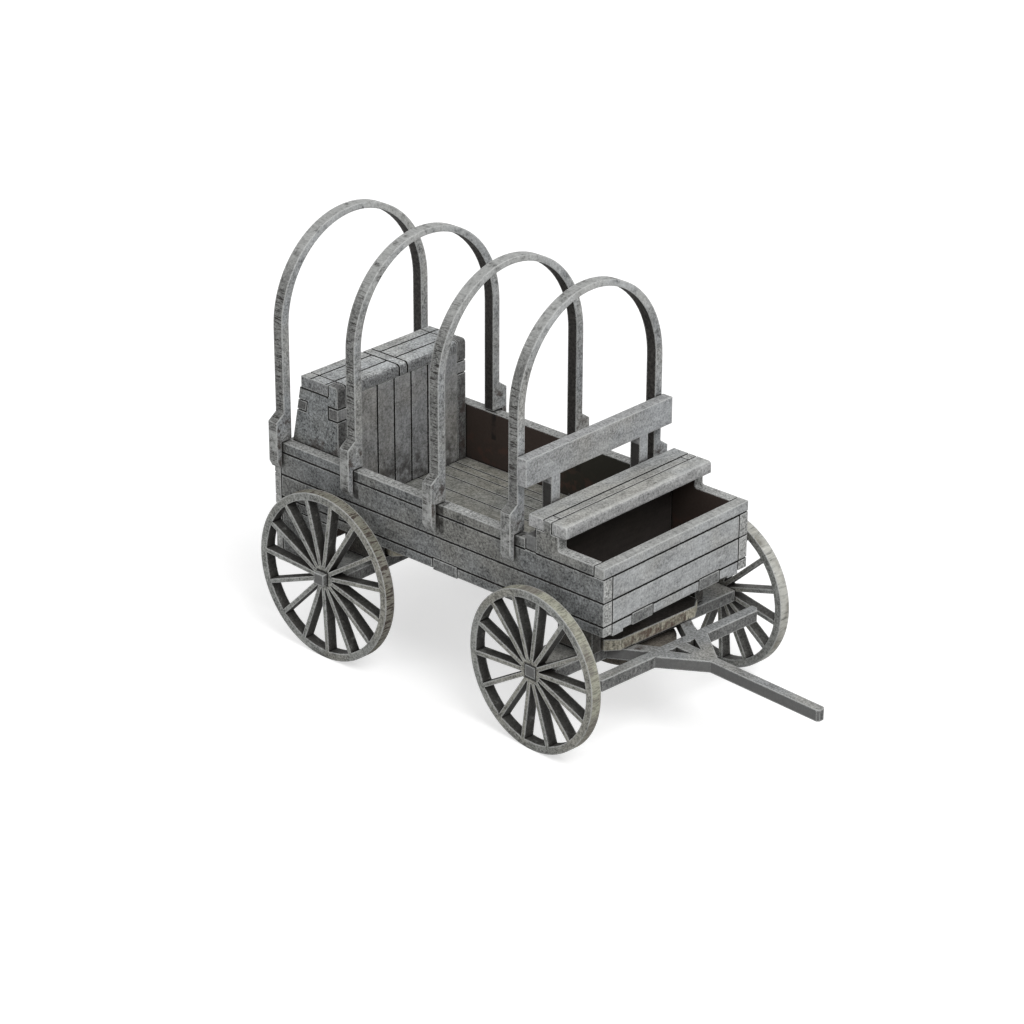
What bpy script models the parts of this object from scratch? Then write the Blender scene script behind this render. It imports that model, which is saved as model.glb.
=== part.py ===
# Chuck wagon: a tabletop model cut from flat 2 mm board, painted as weathered wood.
# Every piece is a flat outline given the board's thickness, slotted and butted to its neighbours.
# Frame: +X forward towards the pole, +Y the wagon's left, +Z up, origin on the floor below the middle.
import math

import bmesh
import bpy
from mathutils import Matrix

MM = 0.001

# Driving dimensions
BOARD = 2.0 * MM
SEAM = 0.1 * MM
JOINT_SEAM = 0.25 * MM
TENON_PLAY = 0.05 * MM
LINE_WIDTH = 0.26 * MM
LINE_DEPTH = 0.2 * MM
CUTTER_REACH = 1.0 * MM
MERGE_DISTANCE = 0.001 * MM
SHARP_ANGLE = math.radians(35.0)
ROUGHNESS = 0.85
BODY_LENGTH = 74.6 * MM
BODY_WIDTH = 35.6 * MM
WALL_TOP = 33.8 * MM
BODY_BOTTOM = 21.9 * MM
FLOOR_DROP = 0.25 * MM
TAIL_DIP = 1.0 * MM
TAIL_THICKNESS = 1.4 * MM
TOP_RAIL = 1.85 * MM
PLANK_LINES_BELOW_TOP = (6.0 * MM, 10.15 * MM)
SKIRT_BOTTOM = 11.4 * MM
SKIRT_FROM_TAIL = 12.4 * MM

REAR_WHEEL_RADIUS = 15.0 * MM
FRONT_WHEEL_RADIUS = 14.0 * MM
REAR_SPOKES = 15
FRONT_SPOKES = 14
REAR_SPOKE_TURN = math.radians(9.0)
FRONT_SPOKE_TURNS = (math.radians(5.5), math.radians(17.0))
RIM_WIDTH = 1.35 * MM
SPOKE_WIDTH = 0.75 * MM
HUB_RADIUS = 2.1 * MM
TENON_WIDTH = 2.2 * MM
WHEEL_TO_BODY = 3.2 * MM
REAR_AXLE_FROM_TAIL = 16.5 * MM
FRONT_AXLE_FROM_FRONT = 9.4 * MM
AXLE_HALF_WIDTH = 3.7 * MM
REAR_TENON_PROUD = 1.0 * MM

# The front gear stands turned by this angle about its king pin, as the model is parked
STEER_ANGLE = math.radians(-3.6)

REAR_HOOPS_FROM_TAIL = [0.3 * MM, 17.3 * MM, 36.9 * MM]
FRONT_HOOP_FROM_FRONT = 20.7 * MM
HOOPS_ASIDE = [0.0, 0.1 * MM, -0.4 * MM, 0.0]
HOOP_TOP = 71.8 * MM
HOOP_LEG_INSET = 0.3 * MM
HOOP_LEG_WIDTH = 1.6 * MM
HOOP_CROWN_WIDTH = 1.05 * MM
FOOT_PLAY = 0.5 * MM
FOOT_PROUD = 1.5 * MM
FOOT_DROP = 4.4 * MM
FOOT_RISE = 4.0 * MM
FOOT_SHOULDER = 1.25 * MM
FOOT_CHAMFER_ACROSS = 0.65 * MM
FOOT_CHAMFER_UP = 1.15 * MM

# Curves are cut into this many straight steps
WHEEL_STEPS = 96
RIM_STEPS = 5
HUB_STEPS = 2
ARCH_STEPS = 40
FILLET_STEPS = 8
ROUNDING_STEPS = 6
PIN_STEPS = 24
DISC_STEPS = 64

# Floor tabs, seen as joints in the walls' lowest strip, and planks engraved on the floor
SIDE_TAB_FROM_TAIL = (37.4 * MM, 42.7 * MM)
FRONT_TAB_Y = (5.85 * MM, 10.75 * MM)
FRONT_FOOT_WIDTH = 2.5 * MM
FRONT_FOOT_DROP = 0.5 * MM
FLOOR_LINES_Y = [-12.95 * MM, -8.8 * MM, -4.65 * MM, -0.5 * MM, 3.65 * MM, 7.8 * MM, 10.85 * MM, 12.9 * MM]

# Seat, measured back from the front and up from the top of the walls
BULKHEAD_FROM_FRONT = 16.5 * MM
BULKHEAD_LUG_RISE = 0.9 * MM
BENCH_REAR_FROM_FRONT = 16.0 * MM
BENCH_LINE_FROM_FRONT = 12.8 * MM
BENCH_JOINT_FROM_FRONT = 11.0 * MM
BENCH_FRONT_FROM_FRONT = 8.0 * MM
BENCH_RISE = 4.6 * MM
BENCH_ROUNDING = 0.6 * MM
RISER_REAR_FROM_FRONT = 14.4 * MM
RISER_FRONT_FROM_FRONT = 9.7 * MM
RISER_FILLET = 0.4 * MM
BACK_FROM_FRONT = 18.6 * MM
BACK_BOTTOM_RISE = 8.9 * MM
BACK_TOP_RISE = 13.6 * MM
POST_FROM_SIDE = 8.05 * MM

# Chuck box, measured from the tail and up from the top of the walls
BOX_SIDE_PLAY = 0.3 * MM
BOX_FOOT_FROM_TAIL = 2.3 * MM
BOX_HEAD_FROM_TAIL = 4.3 * MM
BOX_FRONT_FROM_TAIL = 13.2 * MM
BOX_TOP_RISE = 12.3 * MM
BOX_FRONT_LINES_Y = [-10.15 * MM, -6.1 * MM, -2.05 * MM, 2.05 * MM, 6.1 * MM, 10.15 * MM]
FINGER_LOW_RISE = 6.3 * MM
FINGER_HIGH_RISE = 8.3 * MM
REAR_FINGER_LOW_RISE = 6.1 * MM
REAR_FINGER_HIGH_RISE = 7.8 * MM
LID_REAR_FROM_TAIL = 4.6 * MM
LID_LINES_FROM_TAIL = [6.8 * MM, 10.45 * MM]
LID_STRAP_Y = (-0.9 * MM, 1.05 * MM)
LID_ROUNDING = 0.7 * MM
LID_FRONT_OVERHANG = 0.15 * MM

# Running gear, levels above the floor and lengths ahead of the king pin
BOLSTER_FRONT = 6.1 * MM
BOLSTER_SIDE = 4.5 * MM
BOLSTER_CORNER = 2.2 * MM
BOLSTER_TO_HANGER = 1.0 * MM
HANGER_FROM_SIDE = 3.9 * MM
TURN_GAP = 0.3 * MM
KING_PIN_RADIUS = 1.5 * MM
KING_DISC_RADIUS = 7.5 * MM
BAR_REAR = 9.5 * MM
BAR_FRONT = 11.4 * MM
BAR_HALF = 18.8 * MM
BAR_CHAMFER = 0.8 * MM
POLE_TIP = 41.6 * MM
POLE_HALF = 0.85 * MM
POLE_TIP_CHAMFER = 0.4 * MM
HOUND_AT_BAR = (3.0 * MM, 5.5 * MM)
HOUND_AT_AXLE = (6.8 * MM, 9.4 * MM)
BRACE_AT_BAR = 6.1 * MM
BRACE_END = 18.6 * MM
GUSSET_HOLE_NEAR = 1.1 * MM
GUSSET_HOLE_FAR = 3.1 * MM
GUSSET_HOLE_TIP = 14.7 * MM

# Derived levels and lines; the pole's turned tip and the tail are as far from the origin as each other
TIP_CORNER = POLE_HALF - POLE_TIP_CHAMFER
TIP_REACH = POLE_TIP * math.cos(STEER_ANGLE) + TIP_CORNER * math.sin(abs(STEER_ANGLE))
TAIL_X = -(BODY_LENGTH - FRONT_AXLE_FROM_FRONT + TIP_REACH) / 2
HALF_WIDTH = BODY_WIDTH / 2
WALL_INNER_Y = HALF_WIDTH - BOARD
WHEEL_INNER_Y = HALF_WIDTH + WHEEL_TO_BODY
POST_INNER_Y = HALF_WIDTH - POST_FROM_SIDE
BOX_HALF_WIDTH = WALL_INNER_Y - BOX_SIDE_PLAY
HANGER_Y = HALF_WIDTH - HANGER_FROM_SIDE - BOARD / 2
BOLSTER_SIDE_HALF = HANGER_Y - BOARD / 2 - BOLSTER_TO_HANGER
BOLSTER_FRONT_HALF = BOLSTER_SIDE_HALF - BOLSTER_CORNER
FLOOR_BOTTOM = BODY_BOTTOM - FLOOR_DROP
FLOOR_TOP = FLOOR_BOTTOM + BOARD
RAIL_LINE = WALL_TOP - TOP_RAIL
FRONT_X = TAIL_X + BODY_LENGTH
REAR_AXLE_X = TAIL_X + REAR_AXLE_FROM_TAIL
KING_PIN_X = FRONT_X - FRONT_AXLE_FROM_FRONT
HOOP_REAR_X = [TAIL_X + from_tail for from_tail in REAR_HOOPS_FROM_TAIL] + [FRONT_X - FRONT_HOOP_FROM_FRONT]

PAINT_GREY = (0.23, 0.24, 0.23)
PAINT_LIGHT = (0.32, 0.33, 0.32)
PAINT_DARK = (0.12, 0.12, 0.115)
PAINT_KHAKI = (0.27, 0.25, 0.17)
BARE_BROWN = (0.11, 0.075, 0.055)


def clear_scene():
    """Removes whatever the file holds, so that the script builds the wagon alone."""
    for obj in list(bpy.data.objects):
        bpy.data.objects.remove(obj, do_unlink=True)


def paint(name, colour):
    """Matt paint of one colour."""
    material = bpy.data.materials.new(name)
    material.use_nodes = True
    shader = material.node_tree.nodes["Principled BSDF"]
    shader.inputs["Base Color"].default_value = (*colour, 1.0)
    shader.inputs["Roughness"].default_value = ROUGHNESS
    return material


def prism_mesh(name, outline, thickness):
    """A flat sheet in the XY plane, centred on it, from an outline with no holes."""
    shape = bmesh.new()
    lower = [shape.verts.new((u, v, -thickness / 2)) for u, v in outline]
    upper = [shape.verts.new((u, v, thickness / 2)) for u, v in outline]
    shape.faces.new(lower)
    shape.faces.new(upper)
    for index in range(len(outline)):
        shape.faces.new((lower[index - 1], lower[index], upper[index], upper[index - 1]))
    mesh = bpy.data.meshes.new(name)
    shape.to_mesh(mesh)
    shape.free()
    return mesh


def pierced_mesh(name, outline, holes, thickness):
    """The same for an outline with holes, filled as a 2D curve."""
    curve = bpy.data.curves.new(name, "CURVE")
    curve.dimensions = "2D"
    curve.fill_mode = "BOTH"
    curve.extrude = thickness / 2
    for loop in [outline, *holes]:
        spline = curve.splines.new("POLY")
        spline.points.add(len(loop) - 1)
        for point, (u, v) in zip(spline.points, loop):
            point.co = (u, v, 0.0, 1.0)
        spline.use_cyclic_u = True
    filled = bpy.data.objects.new(name + "_outline", curve)
    bpy.context.scene.collection.objects.link(filled)
    bpy.context.view_layer.update()
    depsgraph = bpy.context.evaluated_depsgraph_get()
    mesh = bpy.data.meshes.new_from_object(filled.evaluated_get(depsgraph))
    bpy.data.objects.remove(filled, do_unlink=True)
    bpy.data.curves.remove(curve)
    mesh.name = name
    return mesh


def weld(mesh):
    """Joins faces that meet and points every face outwards."""
    shape = bmesh.new()
    shape.from_mesh(mesh)
    bmesh.ops.remove_doubles(shape, verts=shape.verts, dist=MERGE_DISTANCE)
    bmesh.ops.recalc_face_normals(shape, faces=shape.faces)
    shape.to_mesh(mesh)
    shape.free()


# Each sheet lies in one of three planes: its own u and v run along these axes of the wagon
FLAT = Matrix(((1, 0, 0), (0, 1, 0), (0, 0, 1))).to_4x4()
LENGTHWISE = Matrix(((1, 0, 0), (0, 0, -1), (0, 1, 0))).to_4x4()
CROSSWISE = Matrix(((0, 0, 1), (1, 0, 0), (0, 1, 0))).to_4x4()


def board(name, outline, plane, centre, material, holes=(), thickness=BOARD, parent=None, smooth=False):
    """One piece cut from board: its outline in a plane, with the sheet's middle layer at a centre."""
    if holes:
        mesh = pierced_mesh(name, outline, holes, thickness)
    else:
        mesh = prism_mesh(name, outline, thickness)
    mesh.transform(plane)
    weld(mesh)
    if smooth:
        mesh.shade_smooth()
        mesh.set_sharp_from_angle(angle=SHARP_ANGLE)
    piece = bpy.data.objects.new(name, mesh)
    piece.location = centre
    piece.parent = parent
    piece.data.materials.append(material)
    bpy.context.scene.collection.objects.link(piece)
    return piece


def carve(piece, boxes):
    """Cuts boxes out of a piece, such as engraved lines, each given by its lowest and highest corner."""
    material = piece.data.materials[0]
    cutters = []
    for low, high in boxes:
        corners = [(x, y, z) for x in (low[0], high[0]) for y in (low[1], high[1]) for z in (low[2], high[2])]
        mesh = bpy.data.meshes.new(piece.name + "_cutter")
        shape = bmesh.new()
        bmesh.ops.convex_hull(shape, input=[shape.verts.new(corner) for corner in corners])
        shape.to_mesh(mesh)
        shape.free()
        cutter = bpy.data.objects.new(piece.name + "_cutter", mesh)
        cutter.display_type = "WIRE"
        cutter.hide_render = True
        bpy.context.scene.collection.objects.link(cutter)
        cut = piece.modifiers.new("cut", "BOOLEAN")
        cut.operation = "DIFFERENCE"
        cut.solver = "EXACT"
        cut.object = cutter
        cutters.append(cutter)
    bpy.context.view_layer.update()
    depsgraph = bpy.context.evaluated_depsgraph_get()
    carved = bpy.data.meshes.new_from_object(piece.evaluated_get(depsgraph))
    piece.modifiers.clear()
    piece.data = carved
    weld(carved)
    carved.materials.clear()
    carved.materials.append(material)
    for cutter in cutters:
        bpy.data.objects.remove(cutter, do_unlink=True)


def line_along_x(x_low, x_high, y_low, y_high, z):
    """Cutter for an engraved line that runs lengthwise on an upright face."""
    return (x_low, y_low, z - LINE_WIDTH / 2), (x_high, y_high, z + LINE_WIDTH / 2)


def rectangle(u_low, v_low, u_high, v_high):
    return [(u_low, v_low), (u_high, v_low), (u_high, v_high), (u_low, v_high)]


def arc(centre, radius, start, end, steps):
    """Points on a circle from one angle to another, both ends included."""
    points = []
    for step in range(steps + 1):
        angle = start + (end - start) * step / steps
        points.append((centre[0] + radius * math.cos(angle), centre[1] + radius * math.sin(angle)))
    return points


def circle(centre, radius, steps):
    return arc(centre, radius, 0.0, math.tau, steps)[:-1]


def rounded_strip(rear, front, bottom, top, radius):
    """Section of a flat strip, seen from the side, with its upper front edge rounded."""
    centre = (front - radius, top - radius)
    rounding = arc(centre, radius, 0.0, math.pi / 2, ROUNDING_STEPS)
    return [(rear, bottom), (front, bottom), *rounding, (rear, top)]


def mirrored(points):
    """A half outline listed on the +v side, closed with its mirror image about v = 0."""
    return points + [(u, -v) for u, v in reversed(points)]


def standing(half):
    """The same for an upright crosswise board, whose half outline is listed on the left side."""
    return half + [(-y, z) for y, z in reversed(half)]


def side_outline():
    """Side wall seen from the side: skirt under the tail, riser and lug for the bench, notches for others."""
    riser_top = WALL_TOP + BENCH_RISE - BOARD - SEAM
    riser_rear = FRONT_X - RISER_REAR_FROM_FRONT
    riser_front = FRONT_X - RISER_FRONT_FROM_FRONT
    bench_lug_rear = FRONT_X - BENCH_LINE_FROM_FRONT + LINE_WIDTH / 2
    bench_lug_front = FRONT_X - BENCH_JOINT_FROM_FRONT - JOINT_SEAM
    fillet_centre = (riser_front + RISER_FILLET, WALL_TOP + RISER_FILLET)
    tab_rear, tab_front = (TAIL_X + x for x in SIDE_TAB_FROM_TAIL)
    lug_rear = FRONT_X - BULKHEAD_FROM_FRONT
    rear = TAIL_X + TAIL_THICKNESS + JOINT_SEAM
    skirt_front = TAIL_X + SKIRT_FROM_TAIL
    points = [
        (rear, SKIRT_BOTTOM),
        (skirt_front, SKIRT_BOTTOM),
        (skirt_front, BODY_BOTTOM),
        (tab_rear - JOINT_SEAM, BODY_BOTTOM),
        (tab_rear - JOINT_SEAM, FLOOR_TOP + JOINT_SEAM),
        (tab_front + JOINT_SEAM, FLOOR_TOP + JOINT_SEAM),
        (tab_front + JOINT_SEAM, BODY_BOTTOM),
        (FRONT_X, BODY_BOTTOM),
        (FRONT_X, RAIL_LINE - SEAM),
        (FRONT_X - BOARD - JOINT_SEAM, RAIL_LINE - SEAM),
        (FRONT_X - BOARD - JOINT_SEAM, WALL_TOP),
    ]
    points += arc(fillet_centre, RISER_FILLET, -math.pi / 2, -math.pi, FILLET_STEPS)
    points += [
        (riser_front, riser_top),
        (bench_lug_front, riser_top),
        (bench_lug_front, WALL_TOP + BENCH_RISE),
        (bench_lug_rear, WALL_TOP + BENCH_RISE),
        (bench_lug_rear, riser_top),
        (riser_rear, riser_top),
        (riser_rear, RAIL_LINE),
        (lug_rear - JOINT_SEAM, RAIL_LINE),
        (lug_rear - JOINT_SEAM, WALL_TOP),
        (rear, WALL_TOP),
    ]
    return points


def side_lines(sign):
    """Engraved lines of a side wall: rail, floor line on the skirt, and planks, also on the front edge."""
    outside = HALF_WIDTH + CUTTER_REACH
    inside = HALF_WIDTH - LINE_DEPTH
    y_low, y_high = sorted((sign * inside, sign * outside))
    rear = TAIL_X
    lug_rear = FRONT_X - BULKHEAD_FROM_FRONT - JOINT_SEAM
    riser_rear = FRONT_X - RISER_REAR_FROM_FRONT
    lines = [
        line_along_x(rear, lug_rear, y_low, y_high, RAIL_LINE),
        line_along_x(riser_rear, FRONT_X - BOARD - JOINT_SEAM, y_low, y_high, RAIL_LINE),
        line_along_x(rear, TAIL_X + SKIRT_FROM_TAIL, y_low, y_high, BODY_BOTTOM),
    ]
    edge_low, edge_high = sorted((sign * (WALL_INNER_Y - CUTTER_REACH), sign * outside))
    for below in PLANK_LINES_BELOW_TOP:
        z = WALL_TOP - below
        lines.append(line_along_x(rear, FRONT_X + CUTTER_REACH, y_low, y_high, z))
        lines.append(line_along_x(FRONT_X - LINE_DEPTH, FRONT_X + CUTTER_REACH, edge_low, edge_high, z))
    return lines


def build_body(grey, light, dark):
    """Bed of the wagon: two sides, front board, tail board and floor."""
    wall_y = HALF_WIDTH - BOARD / 2
    for side, sign in (("right", -1), ("left", 1)):
        wall = board(f"side_{side}", side_outline(), LENGTHWISE, (0, sign * wall_y, 0), grey)
        carve(wall, side_lines(sign))

    tab_low, tab_high = FRONT_TAB_Y
    between = WALL_INNER_Y - JOINT_SEAM
    foot_y = between - FRONT_FOOT_WIDTH
    foot_bottom = BODY_BOTTOM - FRONT_FOOT_DROP
    front_half = [
        (tab_low - JOINT_SEAM, BODY_BOTTOM),
        (tab_low - JOINT_SEAM, FLOOR_TOP + JOINT_SEAM),
        (tab_high + JOINT_SEAM, FLOOR_TOP + JOINT_SEAM),
        (tab_high + JOINT_SEAM, BODY_BOTTOM),
        (foot_y, BODY_BOTTOM),
        (foot_y, foot_bottom),
        (between, foot_bottom),
        (between, RAIL_LINE),
        (HALF_WIDTH, RAIL_LINE),
        (HALF_WIDTH, WALL_TOP),
    ]
    front = board("front_board", standing(front_half), CROSSWISE, (FRONT_X - BOARD / 2, 0, 0), light)
    plank_z = [WALL_TOP - below for below in PLANK_LINES_BELOW_TOP]
    reach = HALF_WIDTH + CUTTER_REACH
    face = FRONT_X - LINE_DEPTH
    outside = FRONT_X + CUTTER_REACH
    carve(front, [line_along_x(face, outside, -reach, reach, z) for z in [RAIL_LINE, *plank_z]])

    tail_half = [
        (HALF_WIDTH, SKIRT_BOTTOM),
        (HALF_WIDTH, WALL_TOP),
        (WALL_INNER_Y, WALL_TOP),
        (WALL_INNER_Y, WALL_TOP - TAIL_DIP),
    ]
    centre = (TAIL_X + TAIL_THICKNESS / 2, 0, 0)
    tail = board("tail_board", standing(tail_half), CROSSWISE, centre, grey, thickness=TAIL_THICKNESS)
    face = TAIL_X + LINE_DEPTH
    outside = TAIL_X - CUTTER_REACH
    line_z = [RAIL_LINE, *plank_z, BODY_BOTTOM]
    carve(tail, [line_along_x(outside, face, -reach, reach, z) for z in line_z])

    floor_y = WALL_INNER_Y - SEAM
    tab_rear, tab_front = (TAIL_X + x for x in SIDE_TAB_FROM_TAIL)
    floor_front = FRONT_X - BOARD - SEAM
    floor_half = [
        (TAIL_X + TAIL_THICKNESS + SEAM, floor_y),
        (tab_rear, floor_y),
        (tab_rear, HALF_WIDTH),
        (tab_front, HALF_WIDTH),
        (tab_front, floor_y),
        (floor_front, floor_y),
        (floor_front, tab_high),
        (FRONT_X, tab_high),
        (FRONT_X, tab_low),
        (floor_front, tab_low),
    ]
    floor = board("bed_floor", mirrored(floor_half), FLAT, (0, 0, FLOOR_BOTTOM + BOARD / 2), dark)
    reach = TAIL_X - CUTTER_REACH, FRONT_X - BOARD
    depth = FLOOR_TOP - LINE_DEPTH, FLOOR_TOP + CUTTER_REACH
    half_line = LINE_WIDTH / 2
    carve(floor, [
        ((reach[0], y - half_line, depth[0]), (reach[1], y + half_line, depth[1])) for y in FLOOR_LINES_Y
    ])


def hoop_outline():
    """Hoop seen from the front: an arch, thinnest at its crown, on legs with a foot hooked over each wall."""
    outer = HALF_WIDTH - HOOP_LEG_INSET
    inner = outer - HOOP_LEG_WIDTH
    centre_z = HOOP_TOP - outer
    inner_rise = outer - HOOP_CROWN_WIDTH
    foot_inner = HALF_WIDTH + FOOT_PLAY
    foot_outer = HALF_WIDTH + FOOT_PROUD
    foot_bottom = WALL_TOP - FOOT_DROP
    foot_top = WALL_TOP + FOOT_RISE
    leg_bottom = WALL_TOP + JOINT_SEAM
    right_leg = [
        (inner, leg_bottom),
        (foot_inner, leg_bottom),
        (foot_inner, foot_bottom),
        (foot_outer - FOOT_CHAMFER_ACROSS, foot_bottom),
        (foot_outer, foot_bottom + FOOT_CHAMFER_UP),
        (foot_outer, foot_top),
        (outer, foot_top + FOOT_SHOULDER),
    ]
    outer_arch = arc((0, centre_z), outer, 0.0, math.pi, ARCH_STEPS)
    left_leg = [(-y, z) for y, z in reversed(right_leg)]
    round_arch = arc((0, 0), inner, math.pi, 0.0, ARCH_STEPS)
    inner_arch = [(y, centre_z + z * inner_rise / inner) for y, z in round_arch]
    return right_leg + outer_arch + left_leg + inner_arch


def build_hoops(light):
    """Four hoops that would carry the canvas, each set a little aside as their play allows."""
    for number, (rear_x, aside) in enumerate(zip(HOOP_REAR_X, HOOPS_ASIDE), start=1):
        centre = (rear_x + BOARD / 2, aside, 0)
        board(f"hoop_{number}", hoop_outline(), CROSSWISE, centre, light, smooth=True)


def build_seat(grey, light, dark):
    """Driver's seat: bulkhead, bench of two strips, and a back whose two legs stand behind the bulkhead."""
    inner_y = WALL_INNER_Y - SEAM
    bulkhead_bottom = FLOOR_TOP + SEAM
    bulkhead_top = WALL_TOP + BENCH_RISE - BOARD - SEAM
    lug_top = WALL_TOP + BULKHEAD_LUG_RISE
    lug_bottom = RAIL_LINE + JOINT_SEAM
    bulkhead_half = [
        (inner_y, bulkhead_bottom),
        (inner_y, lug_bottom),
        (HALF_WIDTH, lug_bottom),
        (HALF_WIDTH, lug_top),
        (inner_y, lug_top),
        (inner_y, bulkhead_top),
    ]
    bulkhead_x = FRONT_X - BULKHEAD_FROM_FRONT + BOARD / 2
    board("seat_bulkhead", standing(bulkhead_half), CROSSWISE, (bulkhead_x, 0, 0), dark)

    bench_z = WALL_TOP + BENCH_RISE - BOARD / 2
    bench_top = WALL_TOP + BENCH_RISE
    rear = FRONT_X - BENCH_REAR_FROM_FRONT
    joint = FRONT_X - BENCH_JOINT_FROM_FRONT
    front = FRONT_X - BENCH_FRONT_FROM_FRONT
    line_x = FRONT_X - BENCH_LINE_FROM_FRONT
    between_lugs = WALL_INNER_Y - JOINT_SEAM
    strip_half = [
        (rear, HALF_WIDTH),
        (line_x, HALF_WIDTH),
        (line_x, between_lugs),
        (joint - JOINT_SEAM, between_lugs),
    ]
    bench = board("seat_bench_rear", mirrored(strip_half), FLAT, (0, 0, bench_z), light)
    reach = HALF_WIDTH + CUTTER_REACH
    low = (line_x - LINE_WIDTH / 2, -reach, bench_top - LINE_DEPTH)
    high = (line_x + LINE_WIDTH / 2, reach, bench_top + CUTTER_REACH)
    carve(bench, [(low, high)])
    strip = rounded_strip(joint, front, bench_top - BOARD, bench_top, BENCH_ROUNDING)
    board("seat_bench_front", strip, LENGTHWISE, (0, 0, 0), light, thickness=BODY_WIDTH, smooth=True)

    back_bottom = WALL_TOP + BACK_BOTTOM_RISE
    post_outer = POST_INNER_Y + BOARD
    back_half = [
        (POST_INNER_Y, back_bottom),
        (POST_INNER_Y, FLOOR_TOP + SEAM),
        (post_outer, FLOOR_TOP + SEAM),
        (post_outer, back_bottom),
        (HALF_WIDTH, back_bottom),
        (HALF_WIDTH, WALL_TOP + BACK_TOP_RISE),
    ]
    back_x = FRONT_X - BACK_FROM_FRONT + BOARD / 2
    board("seat_back", standing(back_half), CROSSWISE, (back_x, 0, 0), grey)


def cheek_outline(foot, head, front, bottom, top):
    """Cheek of the chuck box: sloped rear edge, notches for both fingers and a post through the lid."""
    lid_bottom = top - BOARD - SEAM
    finger_low = WALL_TOP + FINGER_LOW_RISE
    finger_high = WALL_TOP + FINGER_HIGH_RISE
    notch_x = front - BOARD - JOINT_SEAM
    return [
        (foot, bottom),
        (front, bottom),
        (front, finger_low - JOINT_SEAM),
        (notch_x, finger_low - JOINT_SEAM),
        (notch_x, finger_high + JOINT_SEAM),
        (front, finger_high + JOINT_SEAM),
        *arc((front - LID_ROUNDING, top - LID_ROUNDING), LID_ROUNDING, 0.0, math.pi / 2, ROUNDING_STEPS),
        (notch_x + JOINT_SEAM, top),
        (notch_x + JOINT_SEAM, lid_bottom),
        (head, lid_bottom),
        *rear_notch(foot, head, lid_bottom),
        (foot, WALL_TOP),
    ]


def rear_slope_x(foot, head, lid_bottom, z):
    """Where the box's sloped back stands at a height above the walls."""
    return foot + (head - foot) * (z - WALL_TOP) / (lid_bottom - WALL_TOP)


def rear_notch(foot, head, lid_bottom):
    """Notch in a cheek's rear edge for the back's finger, listed downwards."""
    low = WALL_TOP + REAR_FINGER_LOW_RISE - JOINT_SEAM
    high = WALL_TOP + REAR_FINGER_HIGH_RISE + JOINT_SEAM
    depth = BOARD + JOINT_SEAM
    at_high = rear_slope_x(foot, head, lid_bottom, high)
    at_low = rear_slope_x(foot, head, lid_bottom, low)
    return [(at_high, high), (at_high + depth, high), (at_low + depth, low), (at_low, low)]


def build_chuck_box(grey, light):
    """Cook's box in the tail of the bed: two cheeks, front, sloped back and a lid, joined by fingers."""
    foot = TAIL_X + BOX_FOOT_FROM_TAIL
    head = TAIL_X + BOX_HEAD_FROM_TAIL
    front = TAIL_X + BOX_FRONT_FROM_TAIL
    bottom = FLOOR_TOP + SEAM
    top = WALL_TOP + BOX_TOP_RISE
    lid_bottom = top - BOARD - SEAM
    cheek = cheek_outline(foot, head, front, bottom, top)
    cheek_y = BOX_HALF_WIDTH - BOARD / 2
    board("box_cheek_right", cheek, LENGTHWISE, (0, -cheek_y, 0), grey)
    board("box_cheek_left", cheek, LENGTHWISE, (0, cheek_y, 0), grey)

    between = BOX_HALF_WIDTH - BOARD - SEAM
    finger_low = WALL_TOP + FINGER_LOW_RISE
    finger_high = WALL_TOP + FINGER_HIGH_RISE
    panel_half = [
        (between, bottom),
        (between, finger_low),
        (BOX_HALF_WIDTH, finger_low),
        (BOX_HALF_WIDTH, finger_high),
        (between, finger_high),
        (between, lid_bottom),
    ]
    panel = board("box_front", standing(panel_half), CROSSWISE, (front - BOARD / 2, 0, 0), light)
    half_line = LINE_WIDTH / 2
    face = front - LINE_DEPTH
    carve(panel, [
        ((face, y - half_line, bottom - CUTTER_REACH), (front + CUTTER_REACH, y + half_line, top))
        for y in BOX_FRONT_LINES_Y
    ])

    section = [(foot, bottom), (foot + BOARD, bottom), (foot + BOARD, WALL_TOP), (head + BOARD, lid_bottom)]
    section += [(head, lid_bottom), (foot, WALL_TOP)]
    back = board("box_back", section, LENGTHWISE, (0, 0, 0), grey, thickness=2 * BOX_HALF_WIDTH)
    carve(back, beside_fingers(foot, front, bottom, lid_bottom, between))

    lid_rear = TAIL_X + LID_REAR_FROM_TAIL
    lid_front = front + LID_FRONT_OVERHANG
    section = rounded_strip(lid_rear, lid_front, top - BOARD, top, LID_ROUNDING)
    lid = board("box_lid", section, LENGTHWISE, (0, 0, 0), light, thickness=2 * BOX_HALF_WIDTH, smooth=True)
    carve(lid, lid_notches(front, top) + lid_lines(lid_rear, lid_front, top))


def beside_fingers(rear, front, bottom, top, between):
    """What is cut from the ends of the box's back to leave one finger at each."""
    finger_low = WALL_TOP + REAR_FINGER_LOW_RISE
    finger_high = WALL_TOP + REAR_FINGER_HIGH_RISE
    boxes = []
    for sign in (-1, 1):
        y_low, y_high = sorted((sign * between, sign * (BOX_HALF_WIDTH + CUTTER_REACH)))
        for z_low, z_high in ((bottom - CUTTER_REACH, finger_low), (finger_high, top + CUTTER_REACH)):
            boxes.append(((rear - CUTTER_REACH, y_low, z_low), (front, y_high, z_high)))
    return boxes


def lid_notches(front, top):
    """Notch at each front corner of the lid for a cheek's post."""
    bottom = top - BOARD - CUTTER_REACH
    notches = []
    for sign in (-1, 1):
        inner = sign * (BOX_HALF_WIDTH - BOARD - JOINT_SEAM)
        outer = sign * (BOX_HALF_WIDTH + CUTTER_REACH)
        y_low, y_high = sorted((inner, outer))
        low = (front - BOARD - JOINT_SEAM, y_low, bottom)
        notches.append((low, (front + CUTTER_REACH, y_high, top + CUTTER_REACH)))
    return notches


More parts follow.
